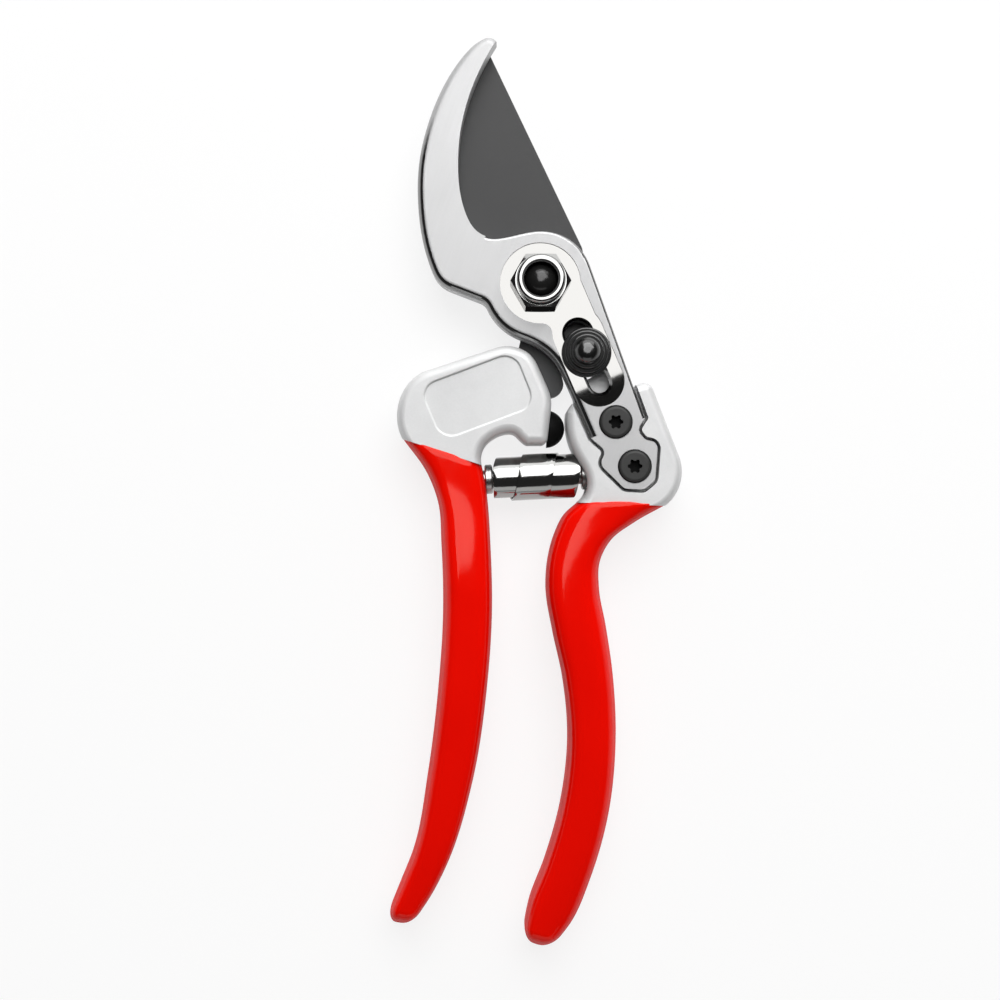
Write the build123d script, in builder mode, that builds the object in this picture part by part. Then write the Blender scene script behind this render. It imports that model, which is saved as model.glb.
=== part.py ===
from build123d import *
import os
from math import atan2, cos, degrees, hypot, pi, radians, sin, sqrt, tan

os.makedirs("parts", exist_ok=True)

# Bypass pruning shears, closed and lying on a table with the nut side up, in millimetres.
# The origin is on the pivot axis at the table, +Y points to the tip and +Z up.

# Pivot bolt, washer and lock nut
bolt_diameter = 8.0
bolt_head_across = 13.0
bolt_head_height = 3.7
bolt_head_bevel = 0.5
bolt_end_round = 3.6
bolt_end_sink = 0.5
washer_diameter = 16.0
washer_thickness = 0.8
nut_across = 12.4
nut_height = 8.0
nut_hex_height = 5.2
nut_crown_diameter = 12.0
nut_crown_angle = 30.0
nut_collar_diameter = 11.4
nut_collar_round = 0.7
nut_rim_clearance = 0.5
nut_rim_height = 0.7
insert_wall = 0.9
insert_height = 2.0

# Blade and hook
blade_thickness = 4.0
blade_gap = 0.05
blade_boss_radius = 12.0
bevel_depth = 3.2
bevel_width = 6.0
grind_margin = 6.0
grind_overrun = 20.0
grind_sweep = 100.0
blade_exit_round = 3.2
blade_tail_round = 2.5
hook_thickness = 6.0
hook_boss_radius = 12.5
hook_heel_radius = 13.9
hook_heel_blend = 3.0
hook_outer_round = 1.8
hook_inner_round = 0.8
foot_round = 1.9
tang_clearance = 0.8
running_clearance = 0.05

# Milled track, keyhole slot and lock
track_depth = 0.5
track_radius = 9.6
track_width = 12.2
track_blend = 2.5
track_lap = 0.5
keyhole_at = (8.95, -11.9)
keyhole_diameter = 6.2
slot_angle = -66.5
slot_width = 4.6
slot_length = 12.9
slot_bevel = 0.7
lock_offset = 5.0
lock_travel = 7.4
lock_pin_diameter = 4.4
lock_foot_diameter = 5.8
lock_foot_height = 1.2
lock_foot_clearance = 0.25
lock_notch_clearance = 0.4
button_lift = 0.1
button_diameters = (11.8, 10.2, 8.2, 6.4)
button_steps = (1.1, 1.0, 1.4, 2.7)
button_round = 0.4
button_dome_round = 2.5
button_socket_depth = 3.4
spring_washer_diameter = 8.4
spring_washer_bore = 4.8
spring_washer_thickness = 0.4
spring_washer_dish = 0.4

# Six-lobe screws
screw_diameter = 5.0
screw_head_diameter = 7.8
screw_head_height = 1.9
screw_head_round = 0.8
screw_length = 9.0
screw_sink = 1.2
screw_seat_clearance = 0.15
screw_recess_depth = 1.7
screw_recess_core = 2.6
screw_recess_lobe = 0.9
thread_clearance = 0.02
hook_screw_places = {"hook_screw_upper": (17.9, -33.0), "hook_screw_lower": (22.4, -43.5)}
blade_screw_places = {"blade_screw_upper": (-8.5, -23.7), "blade_screw_lower": (-17.3, -27.8)}

# Handles and grips
head_back = 1.5
blade_head_rise = 0.5
head_round = 2.0
head_back_round = 1.2
head_corner = 2.3
panel_depth = 0.4
panel_round = 4.0
grip_thickness = 16.5
grip_round = 5.4
grip_wall = 2.0
grip_taper = 4.0
grip_lead = 2.2
section_count = 16
section_round_limit = 0.42
stem_shortfall = 12.0
stop_round = 1.6
grip_end_round = 2.4

# Rubber stop between the handle heads
bumper_drop = 4.9
bumper_diameter = 9.0
bumper_height = 3.9
bumper_plug_diameter = 3.8
bumper_plug_length = 5.0

# Strip spring between the handles and the pegs that carry it
spring_left = (-12.6, -46.5)
spring_right = (11.4, -45.4)
spring_radius = 5.15
spring_strip_width = 6.7
spring_strip_thickness = 0.5
spring_side_turns = 1.75
spring_turn_points = 4
spring_turn_step = 1.09
spring_seat_clearance = 1.5
spring_end_gap = 0.15
peg_diameter = 4.4
peg_reach = 3.5
peg_round = 0.8
grip_peg_root = 5.0
head_peg_root = 2.0

# Levels from the table up
blade_back = bolt_head_height + washer_thickness + blade_gap
blade_front = blade_back + blade_thickness
hook_back = blade_front + blade_gap
hook_front = hook_back + hook_thickness
track_floor = hook_front - track_depth
nut_top = track_floor + nut_height
blade_head_front = hook_front + blade_head_rise
grip_middle = grip_thickness / 2
bolt_hole = bolt_diameter + 2 * running_clearance
nut_rim_bore = bolt_diameter + 2 * nut_rim_clearance
insert_diameter = bolt_diameter + 2 * insert_wall
thread_hole = screw_diameter + 2 * thread_clearance

# Lock places along the slot
slot_direction = Vector(cos(radians(slot_angle)), sin(radians(slot_angle)))
slot_start = Vector(*keyhole_at)
lock_at = slot_start + slot_direction * lock_offset
lock_end = lock_at + slot_direction * lock_travel
slot_axis = Edge.make_line(slot_start + (0, 0, track_floor), lock_end + (0, 0, track_floor))
track_right = slot_start + slot_direction.rotate(Axis.Z, 90) * (track_width / 2 - track_lap)
on_base = (Align.CENTER, Align.CENTER, Align.MIN)


def write(part, name):
    part.label = name
    export_step(part, f"parts/{name}.step")


def polar(radius, angle):
    return (radius * cos(radians(angle)), radius * sin(radians(angle)))


def meet_circle(start, direction, radius):
    along = start.dot(direction)
    return start - direction * (along + sqrt(along**2 - start.dot(start) + radius**2))


# Hook outline, in two pieces that meet on a line from the jaw's lower corner to the throat
hook_tip = (-10.4, 57.7)
hook_tip_back = (-13.2, 58.4)
hook_corner_top = (-25.5, 2.4)
hook_corner_end = (-21.4, -1.5)
tang_left_top = (5.6, -22.2)
tang_left = (12.0, -36.8)
tang_right = (24.8, -32.0)
throat = (-13.0, 11.1)
boss_right_angle = 20.0
boss_top_angle = 97.0
heel_end_angle = 250.0
neck_angle = 274.6
neck_rise = 2.35

with BuildSketch() as hook_jaw:
    with BuildLine():
        jaw_outer = Spline(
            hook_tip_back, (-15.2, 57.3), (-18.2, 54.4), (-22.2, 48.6), (-26.4, 39.1), (-28.9, 28.4),
            (-29.1, 18.8), (-27.5, 8.1), hook_corner_top,
        )
        jaw_corner = TangentArc(hook_corner_top, hook_corner_end, tangent=jaw_outer % 1)
        Line(hook_corner_end, throat)
        Spline(
            throat, (-15.8, 13.0), (-17.7, 16.4), (-18.9, 20.6), (-19.5, 25.6), (-19.5, 30.8), (-19.0, 36.0),
            (-17.9, 41.2), (-16.2, 46.4), (-13.7, 52.0), hook_tip,
        )
        TangentArc(hook_tip_back, hook_tip, tangent=-(jaw_outer % 0))
    make_face()

# The heel starts where the run-out of the jaw's corner meets the heel's circle
heel_start = meet_circle(Vector(*hook_corner_end), jaw_corner % 1, hook_heel_radius)
heel_start_angle = degrees(atan2(heel_start.Y, heel_start.X)) % 360

with BuildSketch() as hook_body:
    with BuildLine():
        heel_line = Line(hook_corner_end, heel_start)
        heel = CenterArc((0, 0), hook_heel_radius, heel_start_angle, heel_end_angle - heel_start_angle)
        neck_middle = polar(hook_heel_radius + neck_rise, neck_angle)
        Spline(heel @ 1, neck_middle, tang_left_top, tangents=(heel % 1, slot_direction))
        Polyline(tang_left_top, tang_left, tang_right, polar(hook_boss_radius, boss_right_angle))
        boss = CenterArc((0, 0), hook_boss_radius, boss_right_angle, boss_top_angle - boss_right_angle)
        Spline(boss @ 1, (-7.5, 11.2), throat, tangents=(boss % 1, (-0.88, 0.47)))
        Line(throat, hook_corner_end)
    make_face()
    fillet(hook_body.vertices().sort_by_distance(heel_line @ 1)[0], hook_heel_blend)

# Foot of the hook's tang, with the bays that key it into its handle
with BuildSketch() as hook_foot:
    with BuildLine():
        Polyline(
            tang_left, (15.6, -39.9), (14.1, -43.0), (20.0, -48.8), (24.6, -49.0), (27.2, -46.8),
            (27.9, -37.7), (24.9, -37.3), (22.9, -34.9), tang_right, close=True,
        )
    make_face()
    tang_edge = Edge.make_line(tang_left, tang_right)
    keyed_corners = [corner for corner in hook_foot.vertices() if corner.distance_to(tang_edge) > foot_round]
    fillet(keyed_corners, foot_round)

with BuildPart() as hook:
    with BuildSketch(Plane.XY.offset(hook_back)):
        add(hook_body.sketch)
    extrude(amount=hook_thickness)
    front_edges = hook.faces().sort_by(Axis.Z)[-1].edges()
    fillet(front_edges.sort_by_distance(boss @ 0.5 + (0, 0, hook_front))[0], hook_inner_round)
    with BuildSketch(Plane.XY.offset(hook_back)):
        add(hook_jaw.sketch)
    extrude(amount=hook_thickness)
    front_edges = hook.faces().sort_by(Axis.Z)[-1].edges()
    fillet(front_edges.sort_by_distance(jaw_outer @ 0.5 + (0, 0, hook_front))[0], hook_outer_round)
    with BuildSketch(Plane.XY.offset(hook_back)):
        add(hook_foot.sketch)
    extrude(amount=hook_thickness)
    with BuildSketch(Plane.XY.offset(track_floor)) as track:
        Circle(track_radius)
        with Locations((slot_start + lock_end) / 2):
            SlotCenterToCenter((lock_end - slot_start).length, track_width, rotation=slot_angle)
        with BuildLine():
            Polyline(slot_start, polar(track_radius - track_lap, boss_right_angle), track_right, close=True)
        make_face()
        offset(amount=track_blend)
        offset(amount=-track_blend)
    extrude(amount=hook_thickness, mode=Mode.SUBTRACT)
    with BuildSketch(Plane.XY.offset(hook_back)):
        with Locations(slot_start):
            Circle(keyhole_diameter / 2)
        with Locations(slot_start + slot_direction * slot_length / 2):
            SlotCenterToCenter(slot_length, slot_width, rotation=slot_angle)
    extrude(amount=hook_thickness, mode=Mode.SUBTRACT)
    floor_edges = hook.edges().filter_by_position(Axis.Z, track_floor, track_floor)
    slot_reach = keyhole_diameter / 2 + slot_bevel
    chamfer([edge for edge in floor_edges if edge.distance_to(slot_axis) < slot_reach], slot_bevel)
    with BuildSketch(Plane.XY.offset(hook_back)):
        with Locations(slot_start + slot_direction * slot_length / 2):
            SlotCenterToCenter(slot_length, lock_foot_diameter + 2 * lock_foot_clearance, rotation=slot_angle)
    extrude(amount=lock_foot_height + 2 * lock_foot_clearance, mode=Mode.SUBTRACT)
    with Locations((0, 0, hook_front)):
        Hole(bolt_hole / 2, hook_thickness)
    for place in hook_screw_places.values():
        with Locations((*place, hook_front)):
            Hole(thread_hole / 2, hook_thickness)
            Hole(screw_head_diameter / 2 + screw_seat_clearance, screw_sink)
write(hook.part, "hook")

# Blade outline: straight spine, boss, lobe for the lock, tang and cutting edge
blade_tip = (-12.2, 56.2)
blade_belly = (-22.6, 27.0)
spine_end = (10.2, 9.4)
tang_exit = (6.4, -25.8)
tang_tail = (-24.0, -24.4)
neck = (-4.7, -13.3)
blade_right_angle = 18.0
blade_lobe_angle = -35.0
blade_neck_angle = 248.0
blade_heel_angle = 196.0

with BuildSketch() as blade_outline:
    with BuildLine():
        Polyline(blade_tip, spine_end, polar(blade_boss_radius, blade_right_angle))
        CenterArc((0, 0), blade_boss_radius, blade_right_angle, blade_lobe_angle - blade_right_angle)
        Polyline(
            polar(blade_boss_radius, blade_lobe_angle), (15.8, -11.4), (16.4, -17.4), (10.6, -21.4),
            (5.0, -20.4), tang_exit, (1.4, -27.2), (-6.0, -28.8), (-19.4, -33.4), tang_tail,
            (-9.4, -18.6), (-5.3, -15.8), neck, polar(blade_boss_radius, blade_neck_angle),
        )
        CenterArc((0, 0), blade_boss_radius, blade_neck_angle, blade_heel_angle - blade_neck_angle)
        cutting_edge = ThreePointArc(polar(blade_boss_radius, blade_heel_angle), blade_belly, blade_tip)
    make_face()
    fillet(blade_outline.vertices().sort_by_distance(tang_exit)[0], blade_exit_round)
    fillet(blade_outline.vertices().filter_by_position(Axis.X, -30, -15).filter_by_position(Axis.Y, -40, -20),
           blade_tail_round)

# Conical grind on the back of the cutting edge, from past the tip to near the boss
edge_centre = cutting_edge.arc_center
edge_radius = cutting_edge.radius
grind_way = (cutting_edge @ 1 - edge_centre).rotate(Axis.Z, -grind_overrun)
grind_slope = bevel_depth / bevel_width
with BuildPart() as grind:
    with BuildSketch(Plane(edge_centre, x_dir=grind_way, z_dir=grind_way.rotate(Axis.Z, -90))):
        with BuildLine():
            inner = edge_radius - bevel_width - grind_margin
            outer = edge_radius + grind_margin
            low = blade_back - grind_slope * grind_margin
            Polyline((inner, low), (outer, low + grind_slope * (outer - inner)), (outer, low), close=True)
        make_face()
    revolve(axis=Axis(edge_centre, (0, 0, 1)), revolution_arc=grind_sweep)

with BuildPart() as blade:
    with BuildSketch(Plane.XY.offset(blade_back)):
        add(blade_outline.sketch)
    extrude(amount=blade_thickness)
    add(grind.part, mode=Mode.SUBTRACT)
    with Locations((0, 0, blade_front)):
        Hole(bolt_hole / 2, blade_thickness)
    for place in blade_screw_places.values():
        with Locations((*place, blade_front)):
            Hole(thread_hole / 2, blade_thickness)
    with BuildSketch(Plane.XY.offset(blade_back)):
        with Locations(lock_at + slot_direction * lock_travel / 2):
            SlotCenterToCenter(lock_travel, lock_pin_diameter + 2 * lock_notch_clearance, rotation=slot_angle)
    extrude(amount=blade_thickness, mode=Mode.SUBTRACT)
write(blade.part, "blade")

# Pivot
with BuildPart() as pivot_bolt:
    with BuildSketch():
        RegularPolygon(bolt_head_across / 2, 6, major_radius=False)
    extrude(amount=bolt_head_height)
    chamfer(pivot_bolt.faces().sort_by(Axis.Z)[0].edges(), bolt_head_bevel)
    with BuildSketch(Plane.XY.offset(bolt_head_height)):
        Circle(bolt_diameter / 2)
    extrude(amount=nut_top - bolt_end_sink - bolt_head_height)
    fillet(pivot_bolt.faces().sort_by(Axis.Z)[-1].edges(), bolt_end_round)
write(pivot_bolt.part, "pivot_bolt")

with BuildPart() as pivot_washer:
    with BuildSketch(Plane.XY.offset(bolt_head_height)):
        Circle(washer_diameter / 2)
        Circle(bolt_hole / 2, mode=Mode.SUBTRACT)
    extrude(amount=washer_thickness)
write(pivot_washer.part, "pivot_washer")

insert_top = nut_top - nut_rim_height
insert_bottom = insert_top - insert_height
with BuildPart() as pivot_nut:
    with BuildSketch(Plane.XY.offset(track_floor)):
        RegularPolygon(nut_across / 2, 6, major_radius=False)
    extrude(amount=nut_hex_height)
    with Locations((0, 0, track_floor)):
        crown_base = nut_crown_diameter / 2 + nut_hex_height / tan(radians(nut_crown_angle))
        Cone(crown_base, nut_crown_diameter / 2, nut_hex_height, align=on_base, mode=Mode.INTERSECT)
    with BuildSketch(Plane.XY.offset(track_floor)):
        Circle(nut_collar_diameter / 2)
    extrude(amount=nut_height)
    fillet(pivot_nut.faces().sort_by(Axis.Z)[-1].edges(), nut_collar_round)
    with BuildSketch(Plane.XY.offset(track_floor)):
        Circle(bolt_hole / 2)
    extrude(amount=nut_height, mode=Mode.SUBTRACT)
    with BuildSketch(Plane.XY.offset(insert_bottom)):
        Circle(insert_diameter / 2)
    extrude(amount=insert_height, mode=Mode.SUBTRACT)
    with BuildSketch(Plane.XY.offset(insert_top)):
        Circle(nut_rim_bore / 2)
    extrude(amount=nut_rim_height, mode=Mode.SUBTRACT)
write(pivot_nut.part, "pivot_nut")

with BuildPart() as nut_insert:
    with BuildSketch(Plane.XY.offset(insert_bottom)):
        Circle(insert_diameter / 2)
        Circle(bolt_hole / 2, mode=Mode.SUBTRACT)
    extrude(amount=insert_height)
write(nut_insert.part, "nut_insert")

# Lock: a headed pin in the keyhole slot, the thumb button on it and a dished washer between
button_base = track_floor + button_lift
foot_back = hook_back + lock_foot_clearance
pin_top = button_base + button_socket_depth
with BuildPart() as lock_pin:
    with BuildSketch(Plane.XY.offset(foot_back)):
        with Locations(lock_at):
            Circle(lock_foot_diameter / 2)
    extrude(amount=lock_foot_height)
    with BuildSketch(Plane.XY.offset(foot_back)):
        with Locations(lock_at):
            Circle(lock_pin_diameter / 2)
    extrude(amount=pin_top - foot_back)
write(lock_pin.part, "lock_pin")

dish_height = spring_washer_thickness + spring_washer_dish
with BuildPart() as lock_button:
    step_base = button_base
    for diameter, step in zip(button_diameters, button_steps):
        with BuildSketch(Plane.XY.offset(step_base)):
            with Locations(lock_at):
                Circle(diameter / 2)
        extrude(amount=step)
        step_base += step
        edge_round = button_dome_round if diameter == button_diameters[-1] else button_round
        fillet(lock_button.faces().sort_by(Axis.Z)[-1].edges(), edge_round)
    with BuildSketch(Plane.XY.offset(button_base)):
        with Locations(lock_at):
            Circle(lock_pin_diameter / 2)
    extrude(amount=button_socket_depth, mode=Mode.SUBTRACT)
    with BuildSketch(Plane.XY.offset(button_base)):
        with Locations(lock_at):
            Circle(spring_washer_diameter / 2 + lock_foot_clearance)
    extrude(amount=dish_height, mode=Mode.SUBTRACT)
write(lock_button.part, "lock_button")

with BuildPart() as lock_spring_washer:
    with BuildSketch(Plane(lock_at + (0, 0, button_base), x_dir=(1, 0, 0), z_dir=(0, -1, 0))):
        with BuildLine():
            Polyline(
                (spring_washer_bore / 2, spring_washer_dish), (spring_washer_diameter / 2, 0),
                (spring_washer_diameter / 2, spring_washer_thickness), (spring_washer_bore / 2, dish_height),
                close=True,
            )
        make_face()
    revolve(axis=Axis(lock_at, (0, 0, 1)))
write(lock_spring_washer.part, "lock_spring_washer")


# Six-lobe screws, the plane lies under the head and faces out of it
def make_screw(plane):
    with BuildPart() as screw:
        with BuildSketch(plane):
            Circle(screw_diameter / 2)
        extrude(amount=-screw_length)
        with BuildSketch(plane):
            Circle(screw_head_diameter / 2)
        extrude(amount=screw_head_height)
        fillet(screw.faces().sort_by(Axis(plane.origin, plane.z_dir))[-1].edges(), screw_head_round)
        with BuildSketch(plane.offset(screw_head_height)):
            Circle(screw_recess_core / 2)
            with PolarLocations(screw_recess_core / 2, 6):
                Circle(screw_recess_lobe / 2)
        extrude(amount=-screw_recess_depth, mode=Mode.SUBTRACT)
    return screw.part


for name, place in hook_screw_places.items():
    write(make_screw(Plane((*place, hook_front - screw_sink))), name)
for name, place in blade_screw_places.items():
    write(make_screw(Plane((*place, blade_back), z_dir=(0, 0, -1))), name)

# Sides of the two handles from head to end
with BuildLine() as blade_sides:
    blade_outer_side = Spline(
        (-32.8, -37.0), (-27.2, -44.9), (-24.5, -52.0), (-23.7, -62.0), (-23.3, -78.0), (-24.5, -97.0),
        (-26.9, -116.7), (-30.6, -136.0), (-33.7, -143.8), (-36.7, -151.2),
    )
    blade_inner_side = Spline(
        (-14.0, -43.2), (-13.1, -47.5), (-12.5, -52.5), (-11.9, -62.0), (-11.5, -78.0), (-12.7, -96.5),
        (-16.2, -119.1), (-22.2, -138.6), (-25.5, -145.2), (-30.2, -152.4),
    )
with BuildLine() as hook_sides:
    hook_inner_side = Spline(
        (9.0, -52.1), (5.8, -55.0), (3.6, -59.3), (1.9, -65.5), (1.4, -72.5), (3.0, -82.9), (5.4, -94.0),
        (6.7, -108.5), (5.0, -124.5), (1.0, -138.8), (-2.6, -148.2), (-4.3, -156.6),
    )
    hook_outer_side = Spline(
        (29.8, -52.9), (22.5, -57.0), (17.0, -61.2), (14.4, -66.3), (14.2, -72.5), (15.8, -81.5),
        (17.4, -92.4), (18.2, -108.5), (16.4, -127.0), (12.2, -142.0), (7.8, -152.3), (2.6, -158.9),
    )


def make_bar(left, right, inset, shortfall):
    with BuildPart() as bar:
        for step in range(section_count + 1):
            share = step / section_count * (1 - shortfall / left.length)
            across = right @ share - left @ share
            middle = (left @ share + right @ share) / 2 + (0, 0, grip_middle)
            width = across.length - 2 * inset
            thinning = grip_lead * (1 - share) ** 8 + grip_taper * share**4
            height = grip_thickness - thinning - 2 * inset
            corner = min(grip_round - inset, section_round_limit * width)
            with BuildSketch(Plane(middle, x_dir=across, z_dir=across.rotate(Axis.Z, -90))):
                RectangleRounded(width, height, corner)
        loft()
    return bar.part


blade_stem = make_bar(blade_outer_side, blade_inner_side, grip_wall, stem_shortfall)
hook_stem = make_bar(hook_inner_side, hook_outer_side, grip_wall, stem_shortfall)

# Spring axis from the grip of the blade's handle to the head of the hook's handle
spring_start = Vector(*spring_left, grip_middle)
spring_end = Vector(*spring_right, grip_middle)
spring_span = (spring_end - spring_start).length
spring_along = (spring_end - spring_start).normalized()
spring_across = spring_along.rotate(Axis.Z, 90)
spring_end_radius = spring_radius - spring_turn_step * spring_side_turns
seat_diameter = 2 * spring_end_radius + spring_strip_thickness + 2 * spring_seat_clearance


def make_peg(tip, direction, length):
    with BuildPart() as peg:
        with BuildSketch(Plane(tip, z_dir=direction)):
            Circle(peg_diameter / 2)
        extrude(amount=length)
        fillet(peg.edges().sort_by(Axis(tip, direction))[0], peg_round)
    return peg.part


hook_spring_peg = make_peg(spring_end - spring_along * peg_reach, spring_along, peg_reach + head_peg_root)
blade_spring_peg = make_peg(spring_start + spring_along * peg_reach, -spring_along, peg_reach + grip_peg_root)
write(hook_spring_peg, "hook_spring_peg")
write(blade_spring_peg, "blade_spring_peg")

# Head of the hook's handle, its lower edge is the first section of the handle
head_flank = (32.9, -40.5)
head_lug = (26.1, -23.0)
head_shoulder = (7.6, -28.3)
head_stop = (6.3, -30.6)
tang_shelf = ((8.6, -30.0), (7.9, -23.9), (12.0, -22.2), (16.0, -19.5), (18.8, -17.3), (22.0, -27.0))
with BuildSketch() as hook_head:
    with BuildLine():
        hook_head_end = Line(hook_inner_side @ 0, hook_outer_side @ 0)
        Spline(hook_head_end @ 1, (32.9, -49.0), (33.8, -44.5), head_flank)
        Polyline(head_flank, head_lug, (23.0, -24.0), head_shoulder, head_stop)
        Spline(
            head_stop, (6.3, -34.5), (7.8, -39.9), (10.5, -44.8), (11.2, -47.8), (10.6, -50.4),
            hook_head_end @ 0,
        )
    make_face()
    for corner in (head_lug, head_shoulder):
        fillet(hook_head.vertices().sort_by_distance(corner)[0], head_corner)

with BuildPart() as hook_handle:
    with BuildSketch(Plane.XY.offset(head_back)):
        add(hook_head.sketch)
    extrude(amount=hook_front - head_back)
    for face, edge_round in ((-1, head_round), (0, head_back_round)):
        rim = hook_handle.faces().sort_by(Axis.Z)[face].edges()
        fillet(rim.sort_by_distance(hook_head_end @ 0.5 + (0, 0, head_back))[1:], edge_round)
    add(hook_stem)
    with BuildSketch(Plane.XY.offset(head_back)):
        with BuildLine():
            Polyline(*tang_shelf, close=True)
        make_face()
    extrude(amount=hook_back - head_back)
    with BuildSketch(Plane.XY.offset(hook_back)):
        add(hook_foot.sketch)
        add(hook_body.sketch)
        offset(amount=tang_clearance)
    extrude(amount=hook_thickness, mode=Mode.SUBTRACT)
    with BuildSketch(Plane(spring_end, z_dir=-spring_along)):
        Circle(seat_diameter / 2)
    extrude(amount=peg_reach, mode=Mode.SUBTRACT)
    add(hook_spring_peg, mode=Mode.SUBTRACT)
    for place in hook_screw_places.values():
        with Locations((*place, hook_back)):
            Hole(thread_hole / 2, screw_length + screw_sink - hook_thickness)
write(hook_handle.part, "hook_handle")

# Head of the blade's handle
stop_top = (2.6, -29.6)
stop_bottom = (1.6, -38.3)
stop_heel = (-3.2, -38.3)
brow_inner = (-11.0, -15.4)
brow_outer = (-26.1, -20.4)
stop_direction = (Vector(*stop_top) - Vector(*stop_bottom)).normalized()
brow_direction = Vector(*brow_outer) - Vector(*brow_inner)
with BuildSketch() as blade_head:
    with BuildLine():
        blade_head_end = Line(blade_outer_side @ 0, blade_inner_side @ 0)
        Spline(
            blade_head_end @ 1, (-14.2, -41.2), (-13.3, -38.6), (-11.2, -36.7), (-8.6, -35.6), (-6.4, -35.7),
            (-4.9, -37.0), stop_heel,
        )
        Polyline(stop_heel, stop_bottom, stop_top)
        Spline(
            stop_top, (0.3, -21.6), (-2.6, -16.7), (-6.9, -14.9), brow_inner,
            tangents=(stop_direction, brow_direction),
        )
        Line(brow_inner, brow_outer)
        Spline(brow_outer, (-31.6, -24.0), (-34.1, -30.6), blade_head_end @ 0)
    make_face()
    fillet(blade_head.vertices().sort_by_distance(stop_bottom)[0], stop_round)

# Rubber stop, a cap on a plug that is pressed into the head
stop_out = stop_direction.rotate(Axis.Z, -90)
bumper_base = Vector(*stop_top) - stop_direction * bumper_drop + (0, 0, grip_middle)
bumper_plane = Plane(bumper_base, x_dir=stop_out, z_dir=stop_direction)
with BuildPart() as bumper:
    with BuildSketch(bumper_plane):
        with BuildLine():
            Line((0, bumper_diameter / 2), (0, 0))
            Line((0, 0), (bumper_height, 0))
            TangentArc((bumper_height, 0), (0, bumper_diameter / 2), tangent=(0, 1))
        make_face()
    revolve(axis=Axis(bumper_base, stop_out))
    with BuildSketch(Plane(bumper_base, z_dir=-stop_out)):
        Circle(bumper_plug_diameter / 2)
    extrude(amount=bumper_plug_length)
write(bumper.part, "bumper")

with BuildPart() as blade_handle:
    with BuildSketch(Plane.XY.offset(head_back)):
        add(blade_head.sketch)
    extrude(amount=blade_head_front - head_back)
    for face, edge_round in ((-1, head_round), (0, head_back_round)):
        rim = blade_handle.faces().sort_by(Axis.Z)[face].edges()
        fillet(rim.sort_by_distance(blade_head_end @ 0.5 + (0, 0, head_back))[1:], edge_round)
    add(blade_stem)
    with BuildSketch(Plane.XY.offset(blade_head_front - panel_depth)):
        with BuildLine():
            Polyline((-28.8, -24.7), (-6.2, -16.2), (-1.0, -29.1), (-23.3, -37.4), close=True)
        panel = make_face()
        fillet(panel.vertices(), panel_round)
    extrude(amount=panel_depth, mode=Mode.SUBTRACT)
    with BuildSketch(Plane.XY.offset(head_back)):
        add(blade_outline.sketch)
        offset(amount=tang_clearance)
    extrude(amount=blade_front - head_back, mode=Mode.SUBTRACT)
    add(bumper.part, mode=Mode.SUBTRACT)
    add(blade_spring_peg, mode=Mode.SUBTRACT)
    for place in blade_screw_places.values():
        with Locations((*place, blade_front)):
            Hole(thread_hole / 2, screw_length - blade_thickness)
write(blade_handle.part, "blade_handle")


# Dipped grips over the stems
def make_grip(left, right, stem):
    with BuildPart() as grip:
        add(make_bar(left, right, 0, 0))
        ends = grip.faces().filter_by(GeomType.PLANE).sort_by_distance(left @ 0)
        fillet(ends[-1].edges(), grip_end_round)
        add(stem, mode=Mode.SUBTRACT)
    return grip.part


with BuildPart() as hook_grip:
    add(make_grip(hook_inner_side, hook_outer_side, hook_stem))
write(hook_grip.part, "hook_grip")

with BuildPart() as blade_grip:
    add(make_grip(blade_outer_side, blade_inner_side, blade_stem))
    add(blade_spring_peg, mode=Mode.SUBTRACT)
write(blade_grip.part, "blade_grip")

# Strip spring, a double volute with its widest turn in the middle
spring_middle = (spring_start + spring_end) / 2
spring_half_travel = (spring_span - spring_strip_width) / 2 - spring_end_gap


def spring_point(turn):
    radius = spring_radius - spring_turn_step * abs(turn)
    shift = spring_half_travel * sin(pi / 2 * turn / spring_side_turns)
    sideways = spring_across * radius * cos(2 * pi * turn)
    return spring_middle + spring_along * shift + sideways + Vector(0, 0, radius * sin(2 * pi * turn))


def spring_tangent(turn):
    nudge = 0.01
    return (spring_point(turn + nudge) - spring_point(turn - nudge)).normalized()


spring_steps = round(2 * spring_side_turns * spring_turn_points)
spring_turns = [step / spring_turn_points - spring_side_turns for step in range(spring_steps + 1)]
with BuildLine() as spring_path:
    for turn, next_turn in zip(spring_turns, spring_turns[1:]):
        first, last = spring_point(turn), spring_point(next_turn)
        first_way, last_way = spring_tangent(turn), spring_tangent(next_turn)
        chord = last - first
        # Arm length that lets two arcs meet with one shared tangent
        square = 2 * (1 - first_way.dot(last_way))
        linear = 2 * chord.dot(first_way + last_way)
        arm = (sqrt(linear**2 + 4 * square * chord.dot(chord)) - linear) / (2 * square)
        joint = (first + first_way * arm + last - last_way * arm) / 2
        lead = TangentArc(first, joint, tangent=first_way)
        TangentArc(joint, last, tangent=lead % 1)

spring_wire = spring_path.wires()[0]
with BuildPart() as volute_spring:
    with BuildSketch(Plane(spring_wire @ 0, x_dir=spring_along, z_dir=spring_wire % 0)):
        Rectangle(spring_strip_width, spring_strip_thickness)
    sweep(path=spring_wire, binormal=spring_wire.moved(Location(spring_along * spring_strip_width)))
write(volute_spring.part, "volute_spring")

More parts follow.
